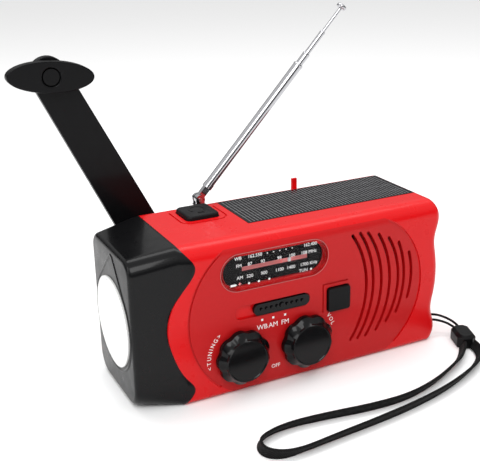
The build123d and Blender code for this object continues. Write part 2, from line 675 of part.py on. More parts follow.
def strap_bead():
    width, length, height = BEAD_SIZE
    block = Box(width, length, height)
    block = chamfer(block.edges().filter_by(Axis.Z), 2.0)
    block = chamfer(block.faces().sort_by(Axis.Z)[-1].edges(), 1.2)
    return Pos(*BEAD_CENTRE) * Rot(0, 0, BEAD_TURN) * block


def trimmed(tube):
    return tube - strap_bead()


NODES = {
    "front_shell": front_shell, "rear_shell": rear_shell, "flashlight_cap": flashlight_cap,
    "lens_ring": lens_ring, "flashlight_lens": flashlight_lens, "reflector": reflector, "led_board": led_board,
    "solar_panel": solar_panel, "flashlight_button": flashlight_button, "flashlight_switch": flashlight_switch,
    "tuning_knob": lambda: knob(TUNING_X), "tuning_shaft": lambda: knob_shaft(TUNING_X, 7.5),
    "tuning_capacitor": tuning_capacitor, "volume_knob": lambda: knob(VOLUME_X),
    "volume_shaft": lambda: knob_shaft(VOLUME_X, 7.5), "volume_potentiometer": volume_potentiometer,
    "dial_window": dial_window, "dial_plate": dial_plate, "dial_needle": dial_needle,
    "band_slider": band_slider, "band_switch": band_switch, "square_button": square_button,
    "square_switch": square_switch, "speaker_frame": speaker_frame, "speaker_cone": speaker_cone,
    "speaker_magnet": speaker_magnet, "main_board": main_board, "battery_cell": battery_cell,
    "ferrite_rod": ferrite_rod, "ferrite_coil": ferrite_coil, "generator": generator,
    "rotor_pinion": rotor_pinion, "idler_gear": idler_gear, "idler_axle": idler_axle,
    "crank_gear": crank_gear, "crank_shaft": crank_shaft, "crank_bush": crank_bush, "crank_arm": crank_arm,
    "hub_cap": hub_cap, "grip_pin": grip_pin, "crank_grip": crank_grip, "antenna_post": antenna_post,
    "antenna_pin": antenna_pin, "antenna_knuckle": antenna_knuckle,
    "antenna_main_tube": lambda: antenna_section(MAIN_SECTION),
    "antenna_section_2": lambda: antenna_section(SECTION_2),
    "antenna_section_3": lambda: antenna_section(SECTION_3),
    "antenna_section_4": lambda: antenna_section(SECTION_4), "antenna_tip": antenna_tip,
    "usb_sockets": usb_sockets, "port_cover": port_cover, "case_screws": case_screws,
    "strap_pin": strap_pin, "strap_bead": strap_bead,
    "strap_cord": lambda: trimmed(cord_tube(CORD_ROUTE, CORD_D, "strap_cord")),
    "strap_tape": lambda: trimmed(cord_tube(TAPE_ROUTE, TAPE_D, "strap_tape")),
}

os.makedirs("parts", exist_ok=True)
for name, build in NODES.items():
    export_step(build(), f"parts/{name}.step")
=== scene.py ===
import bmesh
import bpy
from math import cos, pi, radians, sin
from mathutils import Matrix, Vector


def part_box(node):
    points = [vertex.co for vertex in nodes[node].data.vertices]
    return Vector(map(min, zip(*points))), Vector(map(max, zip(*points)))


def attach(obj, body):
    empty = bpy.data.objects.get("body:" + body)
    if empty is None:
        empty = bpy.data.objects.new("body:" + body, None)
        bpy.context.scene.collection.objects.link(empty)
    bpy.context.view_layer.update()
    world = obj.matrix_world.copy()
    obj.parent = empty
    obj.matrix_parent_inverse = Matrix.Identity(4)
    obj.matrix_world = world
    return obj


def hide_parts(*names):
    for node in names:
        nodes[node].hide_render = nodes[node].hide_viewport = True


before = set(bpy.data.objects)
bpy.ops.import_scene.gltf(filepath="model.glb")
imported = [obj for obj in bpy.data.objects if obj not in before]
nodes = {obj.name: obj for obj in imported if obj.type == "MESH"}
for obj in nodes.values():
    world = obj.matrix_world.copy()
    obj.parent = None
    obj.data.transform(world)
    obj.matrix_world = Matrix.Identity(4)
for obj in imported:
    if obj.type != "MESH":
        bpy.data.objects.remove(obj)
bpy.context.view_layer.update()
MM = 0.001
# printed marks stand this far off the face they are on, and are this thick
PRINT_LIFT = 0.00002
PRINT_THICK = 0.00004

# camera: where it stands, which way it looks and its lens
CAMERA_PLACE = Vector((-0.1474, -0.2797, 0.1670))
CAMERA_AZIMUTH = -25.7
CAMERA_ELEVATION = 20.1
CAMERA_ROLL = -1.3
CAMERA_LENS = 66.4

# the two arcs that frame the front panel, as (x, z) points, and how near the front the panel's tint reaches
LEFT_ARC = ((-0.0315, 0.0555), (-0.0445, 0.0305), (-0.0330, 0.0045))
RIGHT_ARC = ((0.0385, 0.0555), (0.0538, 0.0300), (0.0425, 0.0045))
PANEL_Y = -0.0222

# strap: the same routes as the CAD tubes, in metres
CORD_D = 0.0010
TAPE_W = 0.0040
TAPE_T = 0.0011
CORD_ROUTE = [
    (0.0721, -0.0260, 0.0028), (0.07195, -0.02233, 0.0042), (0.0654, -0.0194, 0.0070),
    (0.0593, -0.0186, 0.0074), (0.0593, -0.0154, 0.0076), (0.0644, -0.0158, 0.0080),
    (0.0698, -0.0176, 0.0070), (0.07444, -0.02281, 0.0042), (0.07342, -0.02648, 0.0028),
]
TAPE_ROUTE = [
    (0.0709, -0.0367, 0.0021), (0.0700, -0.0426, 0.0021), (0.0634, -0.0488, 0.0021),
    (0.0528, -0.0542, 0.0021), (0.0386, -0.0594, 0.0021), (0.0220, -0.0630, 0.0021),
    (0.0050, -0.0652, 0.0021), (-0.0110, -0.0666, 0.0021), (-0.0230, -0.0680, 0.0021),
    (-0.0314, -0.0680, 0.0021), (-0.0366, -0.0640, 0.0021), (-0.0360, -0.0580, 0.0021),
    (-0.0304, -0.0544, 0.0021), (-0.0210, -0.0532, 0.0021), (-0.0070, -0.0546, 0.0021),
    (0.0090, -0.0570, 0.0021), (0.0240, -0.0574, 0.0021), (0.0386, -0.0536, 0.0021),
    (0.0514, -0.0476, 0.0021), (0.0614, -0.0422, 0.0021), (0.0670, -0.0354, 0.0021),
]


def centre(node):
    low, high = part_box(node)
    return (low + high) / 2


# ---------- camera, lights and floor ----------

def make_camera():
    a, e, r = radians(CAMERA_AZIMUTH), radians(CAMERA_ELEVATION), radians(CAMERA_ROLL)
    back = Vector((sin(a) * cos(e), -cos(a) * cos(e), sin(e)))
    level = Vector((cos(a), sin(a), 0))
    lifted = back.cross(level)
    right = level * cos(r) + lifted * sin(r)
    up = lifted * cos(r) - level * sin(r)
    data = bpy.data.cameras.new("camera")
    data.lens = CAMERA_LENS
    data.sensor_width = 36
    data.clip_start = 0.01
    data.clip_end = 20
    camera = bpy.data.objects.new("camera", data)
    turn = Matrix((right, up, back)).transposed().to_4x4()
    camera.matrix_world = Matrix.Translation(CAMERA_PLACE) @ turn
    bpy.context.scene.collection.objects.link(camera)
    bpy.context.scene.camera = camera


def area_light(name, place, target, size, power):
    data = bpy.data.lights.new(name, "AREA")
    data.shape = "RECTANGLE"
    data.size, data.size_y = size
    data.energy = power
    light = bpy.data.objects.new(name, data)
    light.location = place
    light.rotation_euler = (Vector(target) - Vector(place)).to_track_quat("-Z", "Y").to_euler()
    bpy.context.scene.collection.objects.link(light)


def make_world():
    """Bright overhead and darker near the horizon, so that metal shows light and dark bands."""
    world = bpy.data.worlds.new("studio")
    world.use_nodes = True
    tree = world.node_tree
    place = tree.nodes.new("ShaderNodeTexCoord")
    split = tree.nodes.new("ShaderNodeSeparateXYZ")
    ramp = tree.nodes.new("ShaderNodeValToRGB")
    tree.links.new(place.outputs["Generated"], split.inputs[0])
    tree.links.new(split.outputs["Z"], ramp.inputs["Fac"])
    stops = ((0.0, 0.10), (0.16, 0.06), (0.34, 0.55), (0.62, 1.0))
    ramp.color_ramp.elements.new(0.2)
    ramp.color_ramp.elements.new(0.6)
    for element, (where, grey) in zip(ramp.color_ramp.elements, stops):
        element.position = where
        element.color = (grey, grey, grey, 1)
    tree.links.new(ramp.outputs["Color"], tree.nodes["Background"].inputs["Color"])
    tree.nodes["Background"].inputs["Strength"].default_value = 0.95
    bpy.context.scene.world = world


def make_studio():
    """Three soft lamps over a large pale floor."""
    bpy.context.scene.view_settings.view_transform = "Standard"
    make_world()
    area_light("key", (-0.30, -0.60, 0.70), (0, 0, 0.03), (0.45, 0.45), 3.6)
    area_light("top", (0.10, 0.20, 0.80), (0, 0, 0.03), (0.9, 0.25), 3.0)
    area_light("side", (-0.80, -0.10, 0.40), (0, 0, 0.04), (0.2, 0.6), 1.5)
    mesh = bpy.data.meshes.new("floor")
    reach = 4.0
    corners = [(-reach, -reach, 0), (reach, -reach, 0), (reach, reach, 0), (-reach, reach, 0)]
    mesh.from_pydata(corners, [], [(0, 1, 2, 3)])
    floor = bpy.data.objects.new("floor", mesh)
    bpy.context.scene.collection.objects.link(floor)
    material = bpy.data.materials.new("pale_floor")
    material.use_nodes = True
    shader = material.node_tree.nodes["Principled BSDF"]
    shader.inputs["Base Color"].default_value = (0.95, 0.95, 0.95, 1)
    shader.inputs["Roughness"].default_value = 0.8
    shader.inputs["Specular IOR Level"].default_value = 0.1
    mesh.materials.append(material)


# ---------- materials ----------

class Shading:
    """A material's node tree, with short calls for the nodes used here."""

    def __init__(self, name):
        self.material = bpy.data.materials.new(name)
        self.material.use_nodes = True
        self.tree = self.material.node_tree
        self.shader = self.tree.nodes["Principled BSDF"]
        self.place = self.node("ShaderNodeTexCoord").outputs["Object"]

    def node(self, kind, **settings):
        made = self.tree.nodes.new(kind)
        for key, value in settings.items():
            setattr(made, key, value)
        return made

    def link(self, source, target):
        self.tree.links.new(source, target)

    def noise(self, scale, detail=3.0, stretch=None):
        made = self.node("ShaderNodeTexNoise")
        made.inputs["Scale"].default_value = scale
        made.inputs["Detail"].default_value = detail
        place = self.place
        if stretch:
            mapping = self.node("ShaderNodeMapping")
            mapping.inputs["Scale"].default_value = stretch
            self.link(place, mapping.inputs["Vector"])
            place = mapping.outputs["Vector"]
        self.link(place, made.inputs["Vector"])
        return made.outputs["Fac"]

    def spread(self, value, low, high):
        made = self.node("ShaderNodeMapRange")
        made.inputs["From Min"].default_value = 0.3
        made.inputs["From Max"].default_value = 0.7
        made.inputs["To Min"].default_value = low
        made.inputs["To Max"].default_value = high
        self.link(value, made.inputs["Value"])
        return made.outputs["Result"]

    def blend(self, factor, first, second):
        made = self.node("ShaderNodeMix", data_type="RGBA")
        self.link(factor, made.inputs[0])
        for socket, colour in ((made.inputs[6], first), (made.inputs[7], second)):
            if isinstance(colour, tuple):
                socket.default_value = (*colour, 1)
            else:
                self.link(colour, socket)
        return made.outputs[2]

    def math(self, operation, first, second=None):
        made = self.node("ShaderNodeMath", operation=operation)
        for socket, value in ((made.inputs[0], first), (made.inputs[1], second)):
            if isinstance(value, (int, float)):
                socket.default_value = value
            elif value is not None:
                self.link(value, socket)
        return made.outputs[0]

    def bump(self, height, strength, distance):
        made = self.node("ShaderNodeBump")
        made.inputs["Strength"].default_value = strength
        made.inputs["Distance"].default_value = distance
        self.link(height, made.inputs["Height"])
        self.link(made.outputs["Normal"], self.shader.inputs["Normal"])


def plastic(name, colour, roughness, grain=2600, depth=0.00002, coat=0.0, specular=0.5):
    """Moulded plastic: fine grain, slow drifts of tone and uneven gloss."""
    s = Shading(name)
    darker = tuple(c * 0.85 for c in colour)
    s.link(s.blend(s.noise(60, 4), colour, darker), s.shader.inputs["Base Color"])
    s.link(s.spread(s.noise(240, 4), roughness * 0.85, roughness * 1.2), s.shader.inputs["Roughness"])
    s.bump(s.noise(grain, 2), 0.3, depth)
    s.shader.inputs["Specular IOR Level"].default_value = specular
    s.shader.inputs["Coat Weight"].default_value = coat
    s.shader.inputs["Coat Roughness"].default_value = 0.12
    return s.material


def circle_through(a, b, c):
    """Centre and radius of the circle through three points."""
    d = 2 * (a[0] * (b[1] - c[1]) + b[0] * (c[1] - a[1]) + c[0] * (a[1] - b[1]))
    sq = [p[0] ** 2 + p[1] ** 2 for p in (a, b, c)]
    x = (sq[0] * (b[1] - c[1]) + sq[1] * (c[1] - a[1]) + sq[2] * (a[1] - b[1])) / d
    z = (sq[0] * (c[0] - b[0]) + sq[1] * (a[0] - c[0]) + sq[2] * (b[0] - a[0])) / d
    return x, z, ((a[0] - x) ** 2 + (a[1] - z) ** 2) ** 0.5


def red_case():
    """Satin red, with a finely textured, slightly deeper red front panel between its two arcs."""
    s = Shading("case_red")
    split = s.node("ShaderNodeSeparateXYZ")
    s.link(s.place, split.inputs[0])
    left = circle_through(*LEFT_ARC)
    right = circle_through(*RIGHT_ARC)
    middle = s.math("MULTIPLY", s.math("GREATER_THAN", split.outputs["X"], left[0]),
                    s.math("LESS_THAN", split.outputs["X"], right[0]))
    for x, z, radius in (left, right):
        dx = s.math("SUBTRACT", split.outputs["X"], x)
        dz = s.math("SUBTRACT", split.outputs["Z"], z)
        square = s.math("ADD", s.math("MULTIPLY", dx, dx), s.math("MULTIPLY", dz, dz))
        middle = s.math("MAXIMUM", middle, s.math("LESS_THAN", square, radius ** 2))
    inside = s.math("MULTIPLY", middle, s.math("LESS_THAN", split.outputs["Y"], PANEL_Y))
    plain = s.blend(s.noise(40, 3), (0.66, 0.004, 0.006), (0.60, 0.003, 0.005))
    panel = s.blend(s.noise(900, 2), (0.50, 0.006, 0.008), (0.45, 0.005, 0.006))
    s.link(s.blend(inside, plain, panel), s.shader.inputs["Base Color"])
    rough = s.math("ADD", s.spread(s.noise(200, 3), 0.26, 0.34), s.math("MULTIPLY", inside, 0.18))
    s.link(rough, s.shader.inputs["Roughness"])
    fine = s.math("MULTIPLY", s.noise(2600, 2), s.math("ADD", s.math("MULTIPLY", inside, 0.8), 0.12))
    s.bump(fine, 0.3, 0.00003)
    s.shader.inputs["Specular IOR Level"].default_value = 0.18
    s.shader.inputs["Coat Weight"].default_value = 0.12
    s.shader.inputs["Coat Roughness"].default_value = 0.15
    return s.material


def metal(name, colour, roughness, stretch=None):
    """Polished or brushed metal; stretch draws the roughness out into streaks."""
    s = Shading(name)
    s.shader.inputs["Metallic"].default_value = 1.0
    darker = tuple(c * 0.9 for c in colour)
    s.link(s.blend(s.noise(120, 3), colour, darker), s.shader.inputs["Base Color"])
    s.link(s.spread(s.noise(700, 4, stretch), roughness * 0.7, roughness * 1.5), s.shader.inputs["Roughness"])
    s.bump(s.noise(1500, 3, stretch), 0.08, 0.00002)
    return s.material


def clear(name, tint, alpha, roughness):
    """A mostly see-through sheet with a thin gloss coat."""
    s = Shading(name)
    s.link(s.blend(s.noise(90, 2), tint, tuple(c * 0.95 for c in tint)), s.shader.inputs["Base Color"])
    s.link(s.spread(s.noise(500, 3), roughness * 0.7, roughness * 1.4), s.shader.inputs["Roughness"])
    s.shader.inputs["Alpha"].default_value = alpha
    s.shader.inputs["Specular IOR Level"].default_value = 0.3
    s.shader.inputs["Coat Weight"].default_value = 0.3
    s.shader.inputs["Coat Roughness"].default_value = 0.03
    return s.material


def glow(name, colour, strength):
    """A surface that gives off its own light."""
    s = Shading(name)
    s.link(s.blend(s.noise(300, 2), colour, tuple(c * 0.95 for c in colour)), s.shader.inputs["Base Color"])
    s.shader.inputs["Emission Color"].default_value = (*colour, 1)
    s.shader.inputs["Emission Strength"].default_value = strength
    return s.material


def woven(name):
    """Black webbing: a fine diagonal weave with a soft sheen."""
    s = Shading(name)
    waves = []
    for turn in (pi / 4, -pi / 4):
        mapping = s.node("ShaderNodeMapping")
        mapping.inputs["Rotation"].default_value = (turn, 0, turn)
        s.link(s.place, mapping.inputs["Vector"])
        wave = s.node("ShaderNodeTexWave")
        wave.inputs["Scale"].default_value = 900
        s.link(mapping.outputs["Vector"], wave.inputs["Vector"])
        waves.append(wave.outputs["Fac"])
    weave = s.math("MULTIPLY", *waves)
    s.link(s.blend(weave, (0.003, 0.003, 0.003), (0.016, 0.016, 0.017)), s.shader.inputs["Base Color"])
    s.link(s.spread(s.noise(600, 3), 0.65, 0.9), s.shader.inputs["Roughness"])
    s.bump(weave, 0.7, 0.00015)
    s.shader.inputs["Sheen Weight"].default_value = 0.02
    s.shader.inputs["Specular IOR Level"].default_value = 0.1
    return s.material


def solar_cell():
    """Nearly black cells under smooth glass."""
    s = Shading("solar_cell")
    tone = s.blend(s.noise(70, 3), (0.001, 0.001, 0.002), (0.004, 0.004, 0.006))
    s.link(tone, s.shader.inputs["Base Color"])
    s.link(s.spread(s.noise(400, 3), 0.10, 0.18), s.shader.inputs["Roughness"])
    s.shader.inputs["Specular IOR Level"].default_value = 0.1
    s.bump(s.noise(300, 2), 0.05, 0.00003)
    return s.material


MATERIALS = {
    "red": red_case(),
    "black": plastic("black_plastic", (0.004, 0.004, 0.0045), 0.36, grain=2200, coat=0.10, specular=0.08),
    "gloss": plastic("gloss_black", (0.003, 0.003, 0.0035), 0.22, grain=2600, coat=0.25, specular=0.08),
    "cap": plastic("cap_black", (0.004, 0.004, 0.0045), 0.30, grain=1800, coat=0.22, specular=0.08),
    "rubber": plastic("button_rubber", (0.007, 0.007, 0.008), 0.45, grain=3000, specular=0.15),
    "white": plastic("white_plastic", (0.86, 0.86, 0.85), 0.35),
    # salmon print that also gives off its own light: a painted glow, brighter than the print is under the
    # lamps
    "salmon_painted_glow": glow("salmon_print_painted_glow", (0.80, 0.24, 0.24), 0.55),
    "print": plastic("white_print", (0.92, 0.92, 0.92), 0.5, depth=0.00001),
    "green": plastic("board_green", (0.02, 0.16, 0.06), 0.45),
    "blue": plastic("cell_blue", (0.03, 0.12, 0.40), 0.35),
    "dark_glass": plastic("dial_black", (0.004, 0.004, 0.005), 0.40, depth=0.00001, specular=0.1),
    "rim": plastic("rim_print", (0.55, 0.16, 0.16), 0.4, depth=0.00001),
    "gauze": plastic("dark_red_gauze", (0.16, 0.006, 0.008), 0.7, grain=1200, depth=0.00004, specular=0.1),
    "grid": plastic("cell_grid", (0.26, 0.26, 0.27), 0.4, depth=0.00001, specular=0.2),
    "chrome": metal("chrome", (0.50, 0.50, 0.52), 0.10),
    "steel": metal("steel", (0.60, 0.60, 0.62), 0.30, (1, 12, 1)),
    "brass": metal("brass", (0.75, 0.55, 0.25), 0.28),
    "copper": metal("copper_wire", (0.72, 0.32, 0.16), 0.35, (30, 1, 1)),
    "ferrite": plastic("ferrite", (0.05, 0.05, 0.052), 0.7, depth=0.00004),
    "lens": clear("lens_clear", (0.95, 0.97, 1.0), 0.10, 0.04),
    "window": clear("window_clear", (0.01, 0.01, 0.011), 0.10, 0.05),
    "led": glow("led_light", (1.0, 0.99, 0.97), 18),
    # the collimator is no lamp: its glow is painted light from the LED
    "shine": glow("collimator_painted_glow", (0.97, 0.98, 1.0), 3.0),
    # the reflector is no lamp: its glow is a painted reflection of the LED's light
    "lit": glow("reflector_painted_glow", (0.95, 0.97, 1.0), 0.55),
    "webbing": woven("webbing"),
    "cell": solar_cell(),
}

FINISH = {
    "red": ["front_shell", "rear_shell"],
    "cap": ["flashlight_cap"],
    "black": ["crank_arm", "crank_grip", "hub_cap", "grip_pin", "square_button", "speaker_cone",
              "square_switch", "flashlight_switch", "tuning_knob", "volume_knob", "strap_bead"],
    "gloss": ["band_slider"],
    "rubber": ["flashlight_button", "port_cover"],
    "white": ["lens_ring", "led_board", "tuning_shaft", "tuning_capacitor", "idler_gear", "crank_gear",
              "dial_needle"],
    # the reflector gets a painted glow in place of a mirror finish
    "lit": ["reflector"],
    "lens": ["flashlight_lens"],
    "window": ["dial_window"],
    "dark_glass": ["dial_plate"],
    "cell": ["solar_panel"],
    "green": ["main_board"],
    "blue": ["battery_cell"],
    "ferrite": ["ferrite_rod", "speaker_magnet"],
    "copper": ["ferrite_coil"],
    "brass": ["crank_bush"],
    "webbing": ["strap_cord", "strap_tape"],
    "steel": ["volume_shaft", "volume_potentiometer", "band_switch", "speaker_frame", "generator",
              "rotor_pinion", "idler_axle", "crank_shaft", "antenna_pin", "usb_sockets",
              "case_screws", "strap_pin"],
    "chrome": ["antenna_post", "antenna_knuckle", "antenna_main_tube", "antenna_section_2",
               "antenna_section_3", "antenna_section_4", "antenna_tip"],
}


def finish_nodes():
    for finish, names in FINISH.items():
        for name in names:
            materials = nodes[name].data.materials
            if not materials:
                materials.append(MATERIALS[finish])
            for i in range(len(materials)):
                materials[i] = MATERIALS[finish]


# ---------- mesh helpers ----------

def piece(name, mesh, finish, body, smooth=35):
    """A finished piece that rides on a body."""
    mesh.polygons.foreach_set("use_smooth", [True] * len(mesh.polygons))
    mesh.set_sharp_from_angle(angle=radians(smooth))
    mesh.materials.clear()
    mesh.materials.append(MATERIALS[finish])
    made = bpy.data.objects.new(name, mesh)
    bpy.context.scene.collection.objects.link(made)
    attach(made, body)
    return made


def from_bmesh(name, bm):
    bmesh.ops.recalc_face_normals(bm, faces=bm.faces)
    mesh = bpy.data.meshes.new(name)
    bm.to_mesh(mesh)
    bm.free()
    return mesh


def bridge(bm, low, high):
    """Quads between two closed loops with the same number of points."""
    for i in range(len(low)):
        j = (i + 1) % len(low)
        bm.faces.new((low[i], low[j], high[j], high[i]))


def raise_faces(bm, lift):
    """Thicken flat faces by extruding them along a vector."""
    raised = bmesh.ops.extrude_face_region(bm, geom=bm.faces[:])
    up = [v for v in raised["geom"] if isinstance(v, bmesh.types.BMVert)]
    bmesh.ops.translate(bm, verts=up, vec=lift)


def softened(node, finish, body, width):
    """The node's own shape with its sharp edges rounded."""
    bm = bmesh.new()
    bm.from_mesh(nodes[node].data)
    bmesh.ops.remove_doubles(bm, verts=bm.verts, dist=0.000002)
    bmesh.ops.dissolve_limit(bm, angle_limit=radians(0.5), verts=bm.verts, edges=bm.edges)
    mesh = from_bmesh(node + "_soft", bm)
    made = piece(node + "_soft", mesh, finish, body, 40)
    bevel = made.modifiers.new("edges", "BEVEL")
    bevel.width = width
    bevel.segments = 2
    bevel.limit_method = "ANGLE"
    bevel.angle_limit = radians(38)
    bevel.harden_normals = True
    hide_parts(node)


def lathe(name, rings, place, axis, count=64, wobble=None):
    """Rings of (distance along the axis, radius), closed at both ends. wobble(angle, k) scales ring k."""
    turn = Vector((0, 0, 1)).rotation_difference(Vector(axis)).to_matrix()
    bm = bmesh.new()
    loops = []
    for k, (along, radius) in enumerate(rings):
        loop = []
        for i in range(count):
            angle = 2 * pi * i / count
            r = radius * (wobble(angle, k) if wobble else 1)
            point = turn @ Vector((r * cos(angle), r * sin(angle), along))
            loop.append(bm.verts.new(point + Vector(place)))
        loops.append(loop)
    for low, high in zip(loops, loops[1:]):
        bridge(bm, low, high)
    bm.faces.new(loops[0][::-1])
    bm.faces.new(loops[-1])
    return from_bmesh(name, bm)


def boxes(name, corners):
    """Several small boxes in one mesh, each from its low corner to its high corner."""
    bm = bmesh.new()
    for low, high in corners:
        size = Vector(high) - Vector(low)
        middle = (Vector(high) + Vector(low)) / 2
        place = Matrix.Translation(middle) @ Matrix.Diagonal((*size, 1))
        bmesh.ops.create_cube(bm, size=1, matrix=place)
    return from_bmesh(name, bm)


def route_points(points, name, resolution=14):
    """A route's smooth NURBS line as a curve object, and points read from it."""
    data = bpy.data.curves.new(name, "CURVE")
    data.dimensions = "3D"
    data.resolution_u = resolution
    spline = data.splines.new("NURBS")
    spline.points.add(len(points) - 1)
    for target, point in zip(spline.points, points):
        target.co = (*point, 1)
    spline.order_u = 3
    spline.use_endpoint_u = True
    line = bpy.data.objects.new(name, data)
    bpy.context.scene.collection.objects.link(line)
    sampled = [v.co.copy() for v in bpy.data.meshes.new_from_object(line).vertices]
    return line, sampled


# ---------- wrist strap ----------


def make_cord():
    cord, points = route_points(CORD_ROUTE, "strap_cord_line")
    cord.data.bevel_depth = CORD_D / 2
    cord.data.bevel_resolution = 4
    cord.data.use_fill_caps = True
    cord.data.materials.append(MATERIALS["webbing"])
    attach(cord, "radio")
    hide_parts("strap_cord")


def make_tape():
    """A flat woven tape that leans over as it runs, with thin raised edges."""
    line, points = route_points(TAPE_ROUTE, "strap_tape_line", 16)
    bpy.data.objects.remove(line)
    half_w, half_t = TAPE_W / 2, TAPE_T / 2
    edge = [(0.7, 0.7), (0.8, 1), (0.96, 0.8)]
    shares = [(-1, 0)] + [(-x, y) for x, y in reversed(edge)] + [(0, 0.75)] + edge + [(1, 0)]
    section = [(half_w * x, half_t * y) for x, y in shares]
    section += [(x, -y) for x, y in reversed(section[1:-1])]
    bm = bmesh.new()
    loops = []
    for i, point in enumerate(points):
        ahead = points[min(i + 1, len(points) - 1)] - points[max(i - 1, 0)]
        ahead.normalize()
        side = ahead.cross(Vector((0, 0, 1))).normalized()
        half_way = (i / len(points) - 0.5) * 2
        lean = radians(30 * max(-1, min(1, 5 * half_way)) + 5 * sin(9 * half_way))
        across = Vector((0, 0, 1)) * cos(lean) + side * sin(lean)
        out = ahead.cross(across)
        loops.append([bm.verts.new(point + across * x + out * y) for x, y in section])
    for low, high in zip(loops, loops[1:]):
        bridge(bm, low, high)
    bm.faces.new(loops[0][::-1])
    bm.faces.new(loops[-1])
    tape = piece("strap_tape_woven", from_bmesh("strap_tape_woven", bm), "webbing", "radio", 60)
    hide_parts("strap_tape")


# ---------- front details ----------

KNOB_SCALLOPS = (0.055, 0.07, 0.07, 0.065, 0.05, 0.03, 0.0, 0.0, 0.0, 0.0, 0.0)


def knob_wobble(angle, k):
    """Shallow scallops round the rim, fading on the shoulder and gone on the cap."""
    return 1 - KNOB_SCALLOPS[k] * (0.5 + 0.5 * cos(9 * angle)) ** 2


def make_knob(node, body):
    """A scalloped rim, a sloping shoulder and a cap with a raised edge round a flat face."""
    low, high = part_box(node)
    middle = (low + high) / 2
    radius = (high.x - low.x) / 2
    deep = high.y - low.y
    rings = [(0, radius * 0.97), (0.0004, radius), (deep * 0.36, radius), (deep * 0.44, radius * 0.985),
             (deep * 0.52, radius * 0.93), (deep * 0.80, radius * 0.80), (deep * 0.94, radius * 0.775),
             (deep, radius * 0.755), (deep, radius * 0.725), (deep - 0.0003, radius * 0.70),
             (deep - 0.0003, radius * 0.30)]
    mesh = lathe(node + "_turned", rings, (middle.x, high.y, middle.z), (0, -1, 0), 108, knob_wobble)
    made = piece(node + "_turned", mesh, "gloss", body, 26)
    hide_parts(node)


def label(name, text, x, z, size, y, turn=0.0, finish="print"):
    """Raised lettering on a face that looks towards -Y."""
    data = bpy.data.curves.new(name, "FONT")
    data.body = text
    data.size = size
    data.align_x = "CENTER"
    data.align_y = "CENTER"
    data.extrude = PRINT_THICK / 2
    data.resolution_u = 3
    text_object = bpy.data.objects.new(name, data)
    bpy.context.scene.collection.objects.link(text_object)
    mesh = bpy.data.meshes.new_from_object(text_object)
    bpy.data.objects.remove(text_object)
    mesh.transform(Matrix.Translation((x, y, z)) @ Matrix.Rotation(radians(turn), 4, "Y")
                   @ Matrix.Rotation(pi / 2, 4, "X"))
    piece(name, mesh, finish, "radio")


def arc_label(name, letters, centre_x, centre_z, radius, size, y):
    """Letters along an arc, each with its own angle, counted clockwise from the top."""
    for i, (letter, angle) in enumerate(letters):
        x = centre_x + radius * sin(radians(angle))
        z = centre_z + radius * cos(radians(angle))
        label(f"{name}_{i}", letter, x, z, size, y, angle)


DIAL_ROWS = [
    (5.4, [(-14.9, "WB"), (-8.3, "162.550"), (14.0, "162.400")]),
    (2.6, [(-14.6, "FM"), (-10.3, "87"), (-5.2, "92"), (1.4, "98"), (6.5, "100"), (13.4, "108 MHz")]),
    (-1.9, [(-14.3, "AM"), (-10.4, "520"), (-4.8, "900"), (1.4, "1100"), (6.1, "1400"), (13.4, "1700 KHz")]),
    (-4.2, [(11.2, "TUN")]),
]


def make_dial_print():
    """Band scales, dots and a battery sign printed on the window."""
    low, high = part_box("dial_window")
    middle = (low + high) / 2
    y = low.y - PRINT_LIFT
    for row, (height, marks) in enumerate(DIAL_ROWS):
        for i, (x, text) in enumerate(marks):
            label(f"dial_{row}_{i}", text, middle.x + x * MM, middle.z + height * MM, 0.00175, y)
    dots = [(-3.4 + 2.5 * i, 5.4, 0.22) for i in range(5)]
    dots += [(x, -4.6, 0.42) for x in (-10.8, -6.9, -2.7)] + [(14.4, -4.2, 0.42)]
    for i, (x, z, radius) in enumerate(dots):
        place = (middle.x + x * MM, low.y, middle.z + z * MM)
        rings = [(0, radius * MM), (PRINT_THICK, radius * MM), (PRINT_THICK * 1.5, radius * 0.7 * MM)]
        piece(f"dial_dot_{i}", lathe(f"dial_dot_{i}", rings, place, (0, -1, 0), 20), "print", "radio",
              40)
    x, z = middle.x - 17.0 * MM, middle.z - 4.3 * MM
    face = y - PRINT_THICK
    battery = boxes("dial_battery", [((x - 0.0010, face, z - 0.0004), (x + 0.0010, y, z + 0.0004)),
                                     ((x + 0.0010, face, z - 0.0002), (x + 0.0013, y, z + 0.0002))])
    piece("dial_battery", battery, "print", "radio")
    # the plus sign uses the salmon print with its painted glow
    label("dial_plus", "+", middle.x - 14.4 * MM, middle.z - 4.3 * MM, 0.0024, y, finish="salmon_painted_glow")


def make_dial_rim():
    """A thin pale line round the window."""
    low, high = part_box("dial_window")
    middle = (low + high) / 2
    y = low.y - PRINT_LIFT
    half_x, half_z = (high.x - low.x) / 2, (high.z - low.z) / 2
    bm = bmesh.new()
    steps = 24
    loops = []
    for reach in (0.00005, -0.00012):
        radius = half_z - 0.0001 + reach
        loop = []
        for side, turn in ((1, -90), (-1, 90)):
            for i in range(steps + 1):
                angle = radians(turn + 180 * i / steps)
                x = middle.x + side * (half_x - half_z) + radius * cos(angle)
                loop.append(bm.verts.new((x, y, middle.z + radius * sin(angle))))
        loops.append(loop)
    bridge(bm, *loops)
    raise_faces(bm, (0, -2 * PRINT_THICK, 0))
    piece("dial_rim", from_bmesh("dial_rim", bm), "rim", "radio")


